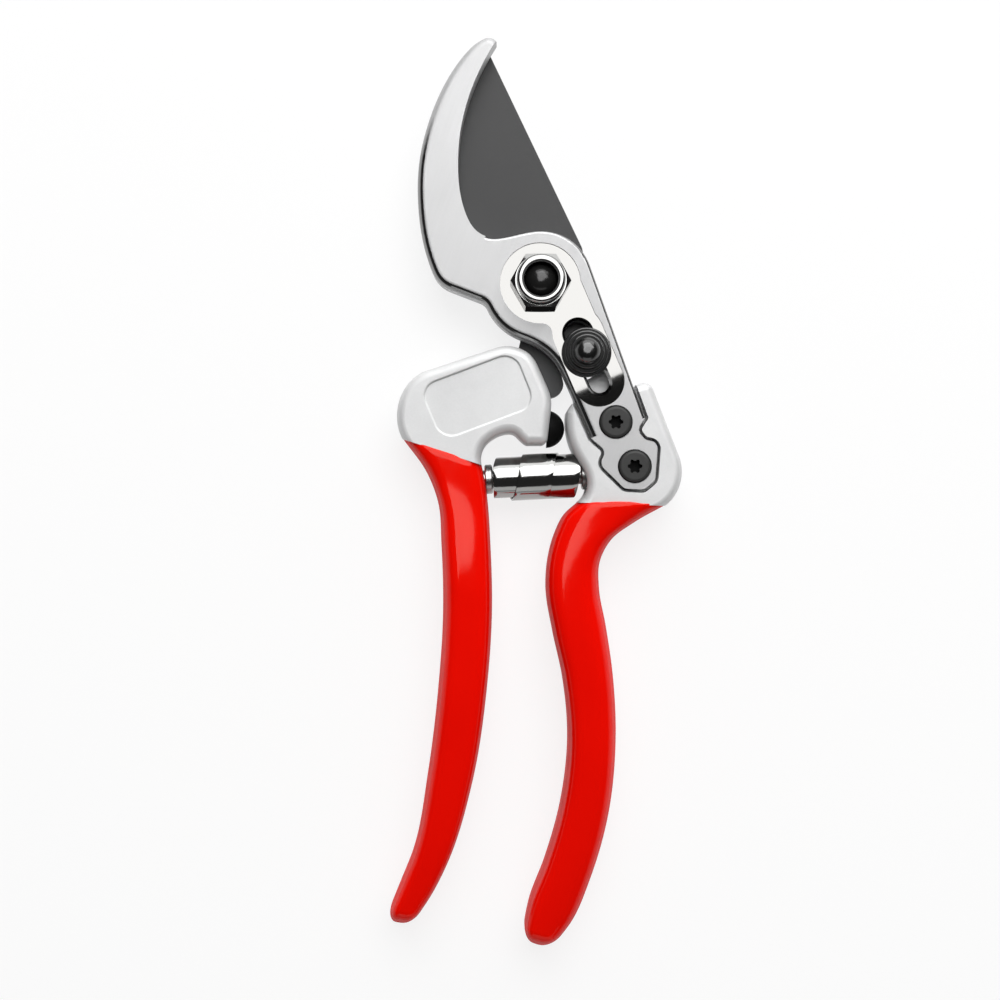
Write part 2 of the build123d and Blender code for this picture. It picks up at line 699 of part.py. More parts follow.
# Least gap between turns of the spring, on points of its middle line
spring_samples = 400
samples = [spring_wire @ (step / spring_samples) for step in range(spring_samples + 1)]
apart = round(spring_samples / (4 * spring_side_turns))
least_gap = spring_span
for step, point in enumerate(samples):
    for other in samples[step + apart:]:
        between = other - point
        lengthwise = abs(between.dot(spring_along))
        crosswise = sqrt(max(between.length**2 - lengthwise**2, 0))
        side_gap = max(lengthwise - spring_strip_width, 0)
        turn_gap = max(crosswise - spring_strip_thickness, 0)
        least_gap = min(least_gap, hypot(side_gap, turn_gap))
print(f"volute_spring least gap to itself {least_gap:.2f} mm")
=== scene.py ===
import bmesh
import bpy
from bisect import bisect
from math import cos, pi, radians, sin
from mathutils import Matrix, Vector
from mathutils.geometry import interpolate_bezier


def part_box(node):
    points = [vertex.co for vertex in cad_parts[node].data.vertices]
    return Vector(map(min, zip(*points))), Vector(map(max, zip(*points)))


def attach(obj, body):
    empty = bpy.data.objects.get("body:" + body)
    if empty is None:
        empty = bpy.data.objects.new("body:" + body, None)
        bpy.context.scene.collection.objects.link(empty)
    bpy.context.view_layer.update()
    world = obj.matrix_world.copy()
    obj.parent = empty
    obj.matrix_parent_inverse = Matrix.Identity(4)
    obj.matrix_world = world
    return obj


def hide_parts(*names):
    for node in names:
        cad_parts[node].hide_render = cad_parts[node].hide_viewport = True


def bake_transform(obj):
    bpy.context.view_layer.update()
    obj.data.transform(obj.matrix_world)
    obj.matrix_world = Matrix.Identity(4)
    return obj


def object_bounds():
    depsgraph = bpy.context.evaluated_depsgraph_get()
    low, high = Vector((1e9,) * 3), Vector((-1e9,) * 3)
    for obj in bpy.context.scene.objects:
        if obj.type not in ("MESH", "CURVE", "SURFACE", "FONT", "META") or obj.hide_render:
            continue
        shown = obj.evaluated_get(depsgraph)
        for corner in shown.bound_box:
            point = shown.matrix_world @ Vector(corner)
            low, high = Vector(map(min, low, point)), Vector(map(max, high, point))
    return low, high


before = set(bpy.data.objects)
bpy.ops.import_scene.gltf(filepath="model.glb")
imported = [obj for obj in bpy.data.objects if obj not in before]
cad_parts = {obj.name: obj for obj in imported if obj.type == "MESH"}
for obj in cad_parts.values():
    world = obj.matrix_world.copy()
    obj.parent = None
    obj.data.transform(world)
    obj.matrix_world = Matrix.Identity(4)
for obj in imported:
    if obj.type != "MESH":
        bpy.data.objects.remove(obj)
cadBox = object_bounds()
mm = 0.001
print("frame loaded,", len(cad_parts), "nodes")

# levels that the finishes need, read off the model
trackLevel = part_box("pivot_nut")[0][2]
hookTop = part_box("hook")[1][2]

# most of a noise texture lies between these values
noiseSpan = (0.3, 0.7)


def makeNode(tree, kind, inputs=None, **settings):
    node = tree.nodes.new(kind)
    for key, value in settings.items():
        setattr(node, key, value)
    for key, value in (inputs or {}).items():
        if isinstance(value, bpy.types.NodeSocket):
            tree.links.new(value, node.inputs[key])
        else:
            node.inputs[key].default_value = value
    return node


def makeGroup(name, inputs, outputs):
    group = bpy.data.node_groups.new(name, "ShaderNodeTree")
    for socket, value in inputs.items():
        entry = group.interface.new_socket(socket, in_out="INPUT", socket_type="NodeSocketFloat")
        entry.default_value = value
    for socket in outputs:
        group.interface.new_socket(socket, in_out="OUTPUT", socket_type="NodeSocketFloat")
    return group, group.nodes.new("NodeGroupInput").outputs, group.nodes.new("NodeGroupOutput").inputs


def makeMath(tree, operation, first, second=0.0):
    return makeNode(tree, "ShaderNodeMath", {0: first, 1: second}, operation=operation).outputs[0]


def makeRange(tree, value, low, high, toLow=0.0, toHigh=1.0):
    inputs = {"Value": value, "From Min": low, "From Max": high, "To Min": toLow, "To Max": toHigh}
    return makeNode(tree, "ShaderNodeMapRange", inputs).outputs[0]


def mixValue(tree, factor, first, second):
    return makeNode(tree, "ShaderNodeMix", {0: factor, 2: first, 3: second}).outputs[0]


def mixColour(tree, factor, first, second):
    return makeNode(tree, "ShaderNodeMix", {0: factor, 6: first, 7: second}, data_type="RGBA").outputs[2]


# blasted or moulded grain and larger handling smudges
def grainGroup():
    sizes = {"Grain Scale": 3000.0, "Smudge Scale": 60.0}
    group, given, out = makeGroup("surfaceGrain", sizes, ["Grain", "Smudge"])
    where = makeNode(group, "ShaderNodeTexCoord").outputs["Object"]
    for scale, detail, output in (("Grain Scale", 3.0, "Grain"), ("Smudge Scale", 4.0, "Smudge")):
        inputs = {"Vector": where, "Scale": given[scale], "Detail": detail}
        group.links.new(makeNode(group, "ShaderNodeTexNoise", inputs).outputs["Fac"], out[output])
    return group


# long fine lines left by a grinding belt, turned to run along a direction in the flat
belt = {"fineness": 2600.0, "squeeze": (1.0, 0.02, 1.0), "detail": 2.0}


def beltGroup():
    group, given, out = makeGroup("beltLines", {"Turn": 0.0, "Fineness": belt["fineness"]}, ["Lines"])
    where = makeNode(group, "ShaderNodeTexCoord").outputs["Object"]
    turn = makeNode(group, "ShaderNodeCombineXYZ", {"Z": given["Turn"]}).outputs[0]
    turned = makeNode(group, "ShaderNodeVectorRotate", {"Vector": where, "Rotation": turn},
                      rotation_type="EULER_XYZ").outputs[0]
    squeezed = makeNode(group, "ShaderNodeVectorMath", {0: turned, 1: belt["squeeze"]},
                        operation="MULTIPLY").outputs[0]
    inputs = {"Vector": squeezed, "Scale": given["Fineness"], "Detail": belt["detail"]}
    group.links.new(makeNode(group, "ShaderNodeTexNoise", inputs).outputs["Fac"], out["Lines"])
    return group


# how far the surface faces up, the height of the point and its way towards the tip
def facingGroup():
    group, _, out = makeGroup("facing", {}, ["Up", "Height", "Forward"])
    normal = makeNode(group, "ShaderNodeNewGeometry").outputs["Normal"]
    where = makeNode(group, "ShaderNodeTexCoord").outputs["Object"]
    place = makeNode(group, "ShaderNodeSeparateXYZ", {0: where}).outputs
    group.links.new(makeNode(group, "ShaderNodeSeparateXYZ", {0: normal}).outputs["Z"], out["Up"])
    group.links.new(place["Z"], out["Height"])
    group.links.new(place["Y"], out["Forward"])
    return group


# sunk panel on the blade's handle: its corners in millimetres, their round and the width of its soft rim
panel = {
    "corners": [(-28.8, -24.7), (-6.2, -16.2), (-1.0, -29.1), (-23.3, -37.4)], "round": 4.0, "rim": 0.3,
}


# soft step across the panel's rim, 0 on its floor and 1 outside it
def panelGroup():
    group, _, out = makeGroup("panelRim", {}, ["Step"])
    where = makeNode(group, "ShaderNodeTexCoord").outputs["Object"]
    corners = [Vector((x, y, 0)) * mm for x, y in panel["corners"]]
    total = 0.0
    for here, there in zip(corners, corners[1:] + corners[:1]):
        outward = Vector((0, 0, 1)).cross(there - here).normalized()
        past = makeNode(group, "ShaderNodeVectorMath", {0: where, 1: outward}, operation="DOT_PRODUCT")
        past = makeMath(group, "ADD", past.outputs["Value"], panel["round"] * mm - outward.dot(here))
        past = makeMath(group, "MAXIMUM", past, 0.0)
        total = makeMath(group, "ADD", total, makeMath(group, "MULTIPLY", past, past))
    reach = makeMath(group, "SQRT", total)
    low, high = [(panel["round"] + side * panel["rim"]) * mm for side in (-1, 1)]
    step = makeNode(group, "ShaderNodeMapRange", {"Value": reach, "From Min": low, "From Max": high},
                    interpolation_type="SMOOTHSTEP")
    group.links.new(step.outputs[0], out["Step"])
    return group


groups = {"grain": grainGroup(), "belt": beltGroup(), "facing": facingGroup(), "panel": panelGroup()}


def useGroup(tree, name, **values):
    node = makeNode(tree, "ShaderNodeGroup", node_tree=groups[name])
    for key, value in values.items():
        node.inputs[key].default_value = value
    return node.outputs


def useGrain(tree, scales):
    return useGroup(tree, "grain", **{"Grain Scale": scales[0], "Smudge Scale": scales[1]})


def startMaterial(name, plain):
    material = bpy.data.materials.new(name)
    material.use_nodes = True
    tree = material.node_tree
    shader = tree.nodes["Principled BSDF"]
    for key, value in plain.items():
        shader.inputs[key].default_value = value
    return material, tree, shader


def addBump(tree, shader, height, strength, distance, under=None):
    inputs = {"Height": height, "Strength": strength, "Distance": distance}
    if under:
        inputs["Normal"] = under
    tree.links.new(makeNode(tree, "ShaderNodeBump", inputs).outputs["Normal"], shader.inputs["Normal"])


# satin steel of the hook, with the milled track and the rounded rim polished; the track and the rim take darker
# colours so that the lamp's reflections in them come out dimmer, a painted shade
hookFinish = {
    "satin": (0.56, 0.56, 0.562, 1), "smudged": (0.48, 0.48, 0.483, 1), "mottle": (0.7, 0.5),
    "track": (0.197, 0.195, 0.190, 1), "trackRoughness": 0.025, "trackBand": 0.12 * mm, "trackUp": 0.9,
    "rim": (0.28, 0.28, 0.28, 1), "rimRoughness": 0.14, "rimUp": (0.20, 0.95, 0.99), "rimDepth": 2.0 * mm,
    "rimFade": (30 * mm, 40 * mm), "metallic": 0.6, "roughness": (0.48, 0.60), "grain": (2400.0, 45.0),
    "lineTurn": 0.35, "lineShare": 0.5, "bump": (0.25, 0.02 * mm),
}


def hookSteel():
    look = hookFinish
    material, tree, shader = startMaterial("hookSteel", {})
    grain = useGrain(tree, look["grain"])
    lines = useGroup(tree, "belt", Turn=look["lineTurn"])["Lines"]
    facing = useGroup(tree, "facing")
    offTrack = makeMath(tree, "ABSOLUTE", makeMath(tree, "SUBTRACT", facing["Height"], trackLevel))
    track = makeMath(tree, "MULTIPLY", makeMath(tree, "LESS_THAN", offTrack, look["trackBand"]),
                     makeMath(tree, "GREATER_THAN", facing["Up"], look["trackUp"]))
    steep, turning, flat = look["rimUp"]
    turned = makeMath(tree, "MULTIPLY", makeMath(tree, "GREATER_THAN", facing["Up"], steep),
                      makeRange(tree, facing["Up"], turning, flat, 1.0, 0.0))
    nearTop = makeMath(tree, "GREATER_THAN", facing["Height"], hookTop - look["rimDepth"])
    worn = makeRange(tree, facing["Forward"], *look["rimFade"], 1.0, 0.0)
    rim = makeMath(tree, "MULTIPLY", makeMath(tree, "MULTIPLY", turned, nearTop), worn)
    polished = makeMath(tree, "MAXIMUM", track, rim)
    gain, base = look["mottle"]
    mottled = makeMath(tree, "ADD", makeMath(tree, "MULTIPLY", grain["Smudge"], gain), base)
    satin = mixColour(tree, mottled, look["satin"], look["smudged"])
    # painted shade: the polished track and rim take darker colours to dim the lamp's reflections in them
    colour = mixColour(tree, track, mixColour(tree, rim, satin, look["rim"]), look["track"])
    tree.links.new(colour, shader.inputs["Base Color"])
    uneven = mixValue(tree, look["lineShare"], grain["Grain"], lines)
    rough = makeRange(tree, uneven, *noiseSpan, *look["roughness"])
    rough = mixValue(tree, rim, rough, look["rimRoughness"])
    rough = mixValue(tree, track, rough, look["trackRoughness"])
    tree.links.new(rough, shader.inputs["Roughness"])
    tree.links.new(makeRange(tree, polished, 0.0, 1.0, look["metallic"], 1.0), shader.inputs["Metallic"])
    matte = makeMath(tree, "SUBTRACT", 1.0, polished)
    addBump(tree, shader, makeMath(tree, "MULTIPLY", uneven, matte), *look["bump"])
    return material


# dark low-friction coat, ground bright on the bevel behind the edge
bladeFinish = {
    "coat": (0.026, 0.026, 0.0265, 1), "rubbed": (0.037, 0.037, 0.0375, 1), "ground": (0.50, 0.50, 0.51, 1),
    "bevelUp": (-0.97, -0.6), "specular": 0.36, "roughness": (0.40, 0.55), "grain": (5200.0, 38.0),
    "lineTurn": -0.45, "bump": (0.2, 0.02 * mm),
}


def bladeCoat():
    look = bladeFinish
    material, tree, shader = startMaterial("bladeCoat", {"Specular IOR Level": look["specular"]})
    grain = useGrain(tree, look["grain"])
    lines = useGroup(tree, "belt", Turn=look["lineTurn"])["Lines"]
    up = useGroup(tree, "facing")["Up"]
    level, steep = look["bevelUp"]
    tilted = makeMath(tree, "MULTIPLY", makeMath(tree, "LESS_THAN", up, steep),
                      makeMath(tree, "GREATER_THAN", up, level))
    coat = mixColour(tree, grain["Smudge"], look["coat"], look["rubbed"])
    tree.links.new(mixColour(tree, tilted, coat, look["ground"]), shader.inputs["Base Color"])
    tree.links.new(tilted, shader.inputs["Metallic"])
    rough = makeRange(tree, grain["Grain"], *noiseSpan, *look["roughness"])
    tree.links.new(rough, shader.inputs["Roughness"])
    relief = makeMath(tree, "ADD", grain["Grain"], makeMath(tree, "MULTIPLY", lines, tilted))
    addBump(tree, shader, relief, *look["bump"])
    return material


# blasted forged aluminium of the two heads
forgedFinish = {
    "bright": (0.70, 0.702, 0.703, 1), "dull": (0.63, 0.632, 0.634, 1), "mottle": (0.35, 0.75), "metallic": 0.5,
    "roughness": (0.52, 0.66), "grain": (2200.0, 70.0), "frontUp": 0.5, "rimBump": (1.0, 0.16 * mm),
    "bump": (0.35, 0.03 * mm),
}


def forgedAluminium():
    look = forgedFinish
    material, tree, shader = startMaterial("forgedAluminium", {"Metallic": look["metallic"]})
    grain = useGrain(tree, look["grain"])
    mottled = makeRange(tree, grain["Smudge"], *look["mottle"])
    tree.links.new(mixColour(tree, mottled, look["bright"], look["dull"]), shader.inputs["Base Color"])
    rough = makeRange(tree, grain["Grain"], *noiseSpan, *look["roughness"])
    tree.links.new(rough, shader.inputs["Roughness"])
    front = makeMath(tree, "GREATER_THAN", useGroup(tree, "facing")["Up"], look["frontUp"])
    step = makeMath(tree, "MULTIPLY", useGroup(tree, "panel")["Step"], front)
    strength, depth = look["rimBump"]
    rim = makeNode(tree, "ShaderNodeBump", {"Height": step, "Strength": strength, "Distance": depth})
    addBump(tree, shader, grain["Grain"], *look["bump"], rim.outputs["Normal"])
    return material


# thick glossy dip, a little wavy from its hanging to dry, its shine softer where it turns away
dipFinish = {
    "colour": (0.84, 0.0040, 0.0004, 1), "deep": (0.74, 0.0025, 0.0003, 1), "sheen": (1.0, 0.80, 0.64, 1),
    "specular": 0.20, "coat": 0.04, "coatRoughness": 0.05, "roughness": (0.07, 0.13), "edge": (0.40, 0.80),
    "edgeRoughness": 0.60, "edgeBlend": 0.5, "wave": (170.0, 40.0), "speck": (1800.0, 90.0), "speckShare": 0.04,
    "bump": (0.25, 0.12 * mm),
}


def redDip():
    look = dipFinish
    material, tree, shader = startMaterial("redDip", {
        "Coat Weight": look["coat"], "Coat Roughness": look["coatRoughness"],
        "Specular IOR Level": look["specular"], "Specular Tint": look["sheen"],
    })
    wave, speck = useGrain(tree, look["wave"]), useGrain(tree, look["speck"])
    tree.links.new(mixColour(tree, wave["Smudge"], look["colour"], look["deep"]), shader.inputs["Base Color"])
    facing = makeNode(tree, "ShaderNodeLayerWeight", {"Blend": look["edgeBlend"]}).outputs["Facing"]
    rough = makeRange(tree, speck["Smudge"], *noiseSpan, *look["roughness"])
    rough = mixValue(tree, makeRange(tree, facing, *look["edge"]), rough, look["edgeRoughness"])
    tree.links.new(rough, shader.inputs["Roughness"])
    fine = makeMath(tree, "MULTIPLY", speck["Grain"], look["speckShare"])
    addBump(tree, shader, makeMath(tree, "ADD", wave["Grain"], fine), *look["bump"])
    return material


# small hardware: fresh and worn grey, metal share, specular level, roughness low and high, grain
hardware = {
    "plate": {
        "fresh": 0.30, "worn": 0.25, "metal": 1.0, "specular": 0.5, "roughness": (0.07, 0.15), "grain": 1600.0,
    },
    "blackOxide": {
        "fresh": 0.006, "worn": 0.014, "metal": 0.0, "specular": 0.45, "roughness": (0.14, 0.22),
        "grain": 2600.0,
    },
    "frontScrew": {
        "fresh": 0.026, "worn": 0.044, "metal": 0.15, "specular": 0.3, "roughness": (0.36, 0.50),
        "grain": 2600.0, "face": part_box("hook_screw_upper")[1][2],
    },
    "backScrew": {
        "fresh": 0.026, "worn": 0.044, "metal": 0.15, "specular": 0.3, "roughness": (0.36, 0.50),
        "grain": 2600.0, "face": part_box("blade_screw_upper")[0][2],
    },
    "bareSteel": {
        "fresh": 0.42, "worn": 0.34, "metal": 1.0, "specular": 0.5, "roughness": (0.22, 0.36), "grain": 2200.0,
    },
    "nickel": {
        "fresh": 0.36, "worn": 0.31, "metal": 1.0, "specular": 0.5, "roughness": (0.08, 0.14), "grain": 1500.0,
    },
    "buttonBlack": {
        "fresh": 0.003, "worn": 0.005, "metal": 0.0, "specular": 0.16, "roughness": (0.30, 0.42),
        "grain": 3200.0, "domeFrom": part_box("lock_button")[1][2] - 2.6 * mm, "roundUp": (0.2, 0.985),
        "gloss": 0.14, "glossIor": 1.65,
    },
    "stopRubber": {
        "fresh": 0.002, "worn": 0.004, "metal": 0.0, "specular": 0.1, "roughness": (0.50, 0.66),
        "grain": 2600.0,
    },
    "insertNylon": {
        "fresh": 0.012, "worn": 0.022, "metal": 0.0, "specular": 0.4, "roughness": (0.38, 0.50),
        "grain": 1800.0,
    },
}
hardwareShared = {"smudge": 160.0, "warmth": 0.98, "bump": (0.15, 0.012 * mm)}

# screw sockets are painted near black below the head's face, a painted shade in the recess
socket = {"depths": (0.1 * mm, 0.5 * mm), "colour": (0.002, 0.002, 0.002, 1), "roughness": 0.9}


def hardwareFinish(name):
    look, shared = hardware[name], hardwareShared
    plain = {"Metallic": look["metal"], "Specular IOR Level": look["specular"]}
    material, tree, shader = startMaterial(name, plain)
    grain = useGrain(tree, (look["grain"], shared["smudge"]))
    facing = useGroup(tree, "facing")
    fresh, worn = [(look[key], look[key], look[key] * shared["warmth"], 1) for key in ("fresh", "worn")]
    colour = mixColour(tree, grain["Smudge"], fresh, worn)
    uneven = makeMath(tree, "MULTIPLY", makeMath(tree, "ADD", grain["Grain"], grain["Smudge"]), 0.5)
    rough = makeRange(tree, uneven, *noiseSpan, *look["roughness"])
    if "face" in look:
        # painted shade: the socket below the head's face turns near black and rough
        below = makeMath(tree, "ABSOLUTE", makeMath(tree, "SUBTRACT", facing["Height"], look["face"]))
        socketShade = makeRange(tree, below, *socket["depths"])
        colour = mixColour(tree, socketShade, colour, socket["colour"])
        rough = mixValue(tree, socketShade, rough, socket["roughness"])
    if "domeFrom" in look:
        steep, flat = look["roundUp"]
        dome = makeMath(tree, "GREATER_THAN", facing["Height"], look["domeFrom"])
        turned = makeMath(tree, "MULTIPLY", makeMath(tree, "LESS_THAN", facing["Up"], flat),
                          makeMath(tree, "GREATER_THAN", facing["Up"], steep))
        tree.links.new(makeMath(tree, "MAXIMUM", dome, turned), shader.inputs["Coat Weight"])
        shader.inputs["Coat Roughness"].default_value = look["gloss"]
        shader.inputs["Coat IOR"].default_value = look["glossIor"]
    tree.links.new(colour, shader.inputs["Base Color"])
    tree.links.new(rough, shader.inputs["Roughness"])
    addBump(tree, shader, grain["Grain"], *shared["bump"])
    return material


finishes = {
    "hookSteel": hookSteel(), "bladeCoat": bladeCoat(), "forgedAluminium": forgedAluminium(), "redDip": redDip(),
}
finishes.update({name: hardwareFinish(name) for name in hardware})
nodeFinish = {
    "hook": "hookSteel", "blade": "bladeCoat",
    "hook_handle": "forgedAluminium", "blade_handle": "forgedAluminium",
    "hook_grip": "redDip", "blade_grip": "redDip",
    "pivot_nut": "plate", "pivot_bolt": "blackOxide", "pivot_washer": "bareSteel", "nut_insert": "insertNylon",
    "lock_button": "buttonBlack", "lock_pin": "blackOxide", "lock_spring_washer": "nickel",
    "volute_spring": "nickel", "bumper": "stopRubber",
    "hook_screw_upper": "frontScrew", "hook_screw_lower": "frontScrew",
    "blade_screw_upper": "backScrew", "blade_screw_lower": "backScrew",
    "hook_spring_peg": "bareSteel", "blade_spring_peg": "bareSteel",
}
for node, finish in nodeFinish.items():
    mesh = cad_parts[node].data
    mesh.materials.clear()
    mesh.materials.append(finishes[finish])
print("finishes on", len(nodeFinish), "nodes")

# strip spring: a double volute, widest in the middle, its ends cut flat against two collars
springSetup = {
    "start": (-12.6, -46.5, 8.25), "end": (11.4, -45.4, 8.25), "low": 1.35, "high": 22.3, "middle": 12.4,
    "radius": 5.7, "fall": (0.62, 0.42), "width": 8.4, "pitch": 6.4, "turns": (1.35, 1.30), "phase": 0.9,
    "thickness": 0.5, "around": 64, "across": 6, "rimAngle": 1.0, "rimBevel": 0.1, "rimSteps": 2,
}
collars = {
    "bladeCollar": {"body": "blade_side", "from": -0.6, "to": 1.25, "radius": 3.55, "inner": 2.3},
    "hookCollar": {"body": "hook_side", "from": 22.5, "to": 24.6, "radius": 3.55, "inner": 2.3},
}
collarShared = {"bevel": 0.3, "around": 64, "merge": 0.001 * mm}
sharpAngle = radians(35)


def springFrame(setup):
    start, end = Vector(setup["start"]) * mm, Vector(setup["end"]) * mm
    along = (end - start).normalized()
    return start, along, Vector((0, 0, 1)).cross(along), Vector((0, 0, 1))


def springBand(setup):
    start, along, side, up = springFrame(setup)
    form = bmesh.new()
    count = int(sum(setup["turns"]) * setup["around"])
    rows = []
    for column in range(count + 1):
        turn = -setup["turns"][0] + sum(setup["turns"]) * column / count
        radius = setup["radius"] - setup["fall"][turn > 0] * abs(turn)
        angle = 2 * pi * turn + setup["phase"]
        centre = setup["middle"] + setup["pitch"] * turn
        low = max(centre - setup["width"] / 2, setup["low"])
        high = min(centre + setup["width"] / 2, setup["high"])
        spoke = (side * sin(angle) + up * cos(angle)) * radius * mm
        steps = [low + (high - low) * row / setup["across"] for row in range(setup["across"] + 1)]
        rows.append([form.verts.new(start + along * step * mm + spoke) for step in steps])
    for first, second in zip(rows, rows[1:]):
        for row in range(setup["across"]):
            form.faces.new((first[row], first[row + 1], second[row + 1], second[row]))
    bmesh.ops.recalc_face_normals(form, faces=form.faces)
    bmesh.ops.solidify(form, geom=form.faces[:], thickness=setup["thickness"] * mm)
    bmesh.ops.recalc_face_normals(form, faces=form.faces)
    rims = [edge for edge in form.edges if edge.calc_face_angle(0) > setup["rimAngle"]]
    bmesh.ops.bevel(form, geom=rims, offset=setup["rimBevel"] * mm, affect="EDGES",
                    segments=setup["rimSteps"], profile=0.5, material=-1)
    return form


def collarRing(setup):
    start, along, side, up = springFrame(springSetup)
    form = bmesh.new()
    bevel = collarShared["bevel"]
    low, high, inner, outer = setup["from"], setup["to"], setup["inner"], setup["radius"]
    profile = [(low, inner), (low, outer - bevel), (low + bevel, outer),
               (high - bevel, outer), (high, outer - bevel), (high, inner)]
    loop = [form.verts.new(start + along * reach * mm + up * out * mm) for reach, out in profile]
    edges = [form.edges.new(pair) for pair in zip(loop, loop[1:] + loop[:1])]
    bmesh.ops.spin(form, geom=loop + edges, cent=start, axis=along, angle=2 * pi,
                   steps=collarShared["around"], use_merge=True)
    bmesh.ops.remove_doubles(form, verts=form.verts, dist=collarShared["merge"])
    bmesh.ops.recalc_face_normals(form, faces=form.faces)
    return form


def addPiece(name, form, finish):
    mesh = bpy.data.meshes.new(name)
    form.to_mesh(mesh)
    form.free()
    mesh.materials.append(finishes[finish])
    mesh.shade_smooth()
    mesh.set_sharp_from_angle(angle=sharpAngle)
    piece = bpy.data.objects.new(name, mesh)
    bpy.context.collection.objects.link(piece)
    return piece


band = addPiece("springBand", springBand(springSetup), "nickel")
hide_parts("volute_spring")
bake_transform(band)
for ringName, ring in collars.items():
    piece = addPiece(ringName, collarRing(ring), "bareSteel")
    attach(piece, ring["body"])
print("spring band and", len(collars), "collars made")

# dipped skins: both sides of each handle from head to end, where the crest lies across it (1 is the inner
# side), how square the outer and inner halves of the section are, how far the round end runs past the last
# points, and the shares between which the skin rises from the head to its full height
dips = {
    "hook_grip": {
        "name": "hookDip", "body": "hook_side", "crest": 0.20, "square": (3.2, 3.4), "reach": 0.6, "phase": 0.4,
        "rise": (0.0, 0.36),
        "inner": [(9.0, -52.1), (5.8, -55.0), (3.6, -59.3), (1.9, -65.5), (1.4, -72.5), (3.0, -82.9),
                  (5.4, -94.0), (6.7, -108.5), (5.0, -124.5), (1.0, -138.8), (-2.6, -148.2), (-4.3, -156.6)],
        "outer": [(29.8, -52.9), (22.5, -57.0), (17.0, -61.2), (14.4, -66.3), (14.2, -72.5), (15.8, -81.5),
                  (17.4, -92.4), (18.2, -108.5), (16.4, -127.0), (12.2, -142.0), (7.8, -152.3), (2.6, -158.9)],
    },
    "blade_grip": {
        "name": "bladeDip", "body": "blade_side", "crest": -0.25, "square": (2.6, 4.8), "reach": 1.5,
        "phase": 2.1, "rise": (0.07, 0.31),
        "inner": [(-14.0, -43.2), (-13.1, -47.5), (-12.5, -52.5), (-11.9, -62.0), (-11.5, -78.0),
                  (-12.7, -96.5), (-16.2, -119.1), (-22.2, -138.6), (-25.5, -145.2), (-30.2, -152.4)],
        "outer": [(-32.8, -37.0), (-27.2, -44.9), (-24.5, -52.0), (-23.7, -62.0), (-23.3, -78.0),
                  (-24.5, -97.0), (-26.9, -116.7), (-30.6, -136.0), (-33.7, -143.8), (-36.7, -151.2)],
    },
}
# heights above the table at head, middle and end, the share where the end begins to thin, the round cap,
# the wall over the stem, and the lip at the head as steps forward and in
dipShape = {
    "plane": 8.25, "tops": (15.3, 17.2, 14.4), "backs": (1.1, 0.0, 2.0), "fall": 0.45, "cap": 4.6,
    "capSteps": 12, "capSquare": 2.15, "wall": 2.0, "stemEnd": 12.0, "stemSteps": 20, "lipShare": 0.01,
    "lip": [(0.5, 1.3), (0.25, 0.55), (0.0, 0.16), (-0.5, 0.0)], "waves": [(3, 0.26), (7, 0.18), (13, 0.13)],
    "waveFade": 7.0, "around": 96, "along": 120, "curveSteps": 13,
}


# smooth curve through the points, with the distance along it at each of its steps
def smoothLine(points):
    points = [Vector((x, y, 0)) for x, y in points]
    gaps = [(there - here).length for here, there in zip(points, points[1:])]
    slopes = [(there - here) / gap for here, there, gap in zip(points, points[1:], gaps)]
    ways = [(first * after + second * before) / (before + after)
            for first, second, before, after in zip(slopes, slopes[1:], gaps, gaps[1:])]
    ways = [slopes[0]] + ways + [slopes[-1]]
    line = []
    for here, there, leave, arrive, gap in zip(points, points[1:], ways, ways[1:], gaps):
        knots = (here, here + leave * gap / 3, there - arrive * gap / 3, there)
        line += interpolate_bezier(*knots, dipShape["curveSteps"])[:-1]
    line.append(points[-1])
    reach = [0.0]
    for here, there in zip(line, line[1:]):
        reach.append(reach[-1] + (there - here).length)
    return line, reach


def walk(side, share):
    line, reach = side
    target = share * reach[-1]
    index = min(max(bisect(reach, target) - 1, 0), len(line) - 2)
    part = (target - reach[index]) / (reach[index + 1] - reach[index])
    return line[index].lerp(line[index + 1], part)


def easeBetween(low, high, value):
    part = min(max((value - low) / (high - low), 0.0), 1.0)
    return part * part * (3 - 2 * part)


def dipRing(form, setup, sides, share, scale=1.0, inset=0.0, forward=0.0):
    shape = dipShape
    span = sides["outer"][1][-1]
    rise = easeBetween(*setup["rise"], share)
    fall = max(share - shape["fall"], 0.0) / (1 - shape["fall"])
    top, back = [head + (middle - head) * rise + (end - middle) * fall ** 2 - shape["plane"]
                 for head, middle, end in (shape["tops"], shape["backs"])]
    fade = max(1 - share * span / shape["waveFade"], 0.0)
    ring = []
    for column in range(shape["around"]):
        angle = 2 * pi * column / shape["around"]
        wave = sum(size * (1 + sin(count * angle + setup["phase"] * count)) for count, size in shape["waves"])
        place = share - (forward + wave * fade) / span
        outer, inner = walk(sides["outer"], place), walk(sides["inner"], place)
        across, half = (inner - outer).normalized(), (inner - outer).length / 2
        power = 2 / setup["square"][cos(angle) > 0]
        way = 1 if cos(angle) > 0 else -1
        reach = half * (1 - way * setup["crest"]) * abs(cos(angle)) ** power
        out = half * setup["crest"] + way * reach
        lift = (top if sin(angle) > 0 else back) * abs(sin(angle)) ** power
        out *= scale * (half - inset) / half
        lift *= scale * (abs(top) - inset) / abs(top)
        middle = (outer + inner) / 2 + Vector((0, 0, shape["plane"] + lift))
        ring.append(form.verts.new((middle + across * out) * mm))
    return ring


